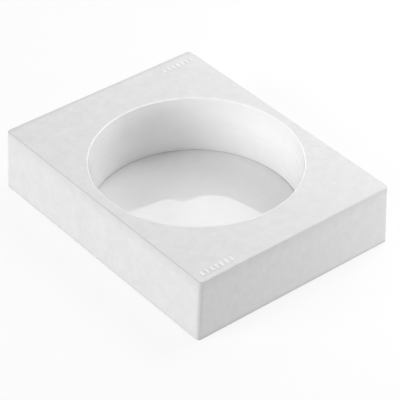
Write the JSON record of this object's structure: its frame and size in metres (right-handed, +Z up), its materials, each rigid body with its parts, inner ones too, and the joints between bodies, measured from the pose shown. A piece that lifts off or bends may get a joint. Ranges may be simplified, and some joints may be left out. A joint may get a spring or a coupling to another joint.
{
  "type": "silicone casting mould",
  "caption": "Flexible rectangular block mould with a wide round flat-floored cavity for casting resin, soap or wax.",
  "frame": {"origin": "centre of the base, on the surface that the mould stands on", "axes": "+X along the long side, +Y along the short side towards the back, +Z up out of the cavity's mouth"},
  "size_m": [0.231, 0.1806, 0.0515],
  "materials": {
    "matt_silicone": "matt, fine grained",
    "polished_silicone": "polished, glossy"
  },
  "bodies": {
    "root": {"top_deck": "matt_silicone", "rim_lip": "polished_silicone", "cavity_wall": "polished_silicone", "cavity_floor": "polished_silicone", "front_wall": "matt_silicone", "back_wall": "matt_silicone", "left_wall": "matt_silicone", "right_wall": "matt_silicone", "front_bridge": "matt_silicone", "back_bridge": "matt_silicone", "left_ribs": "matt_silicone", "right_ribs": "matt_silicone", "front_corner_mark": "matt_silicone", "back_corner_mark": "matt_silicone"}
  },
  "joints": []
}
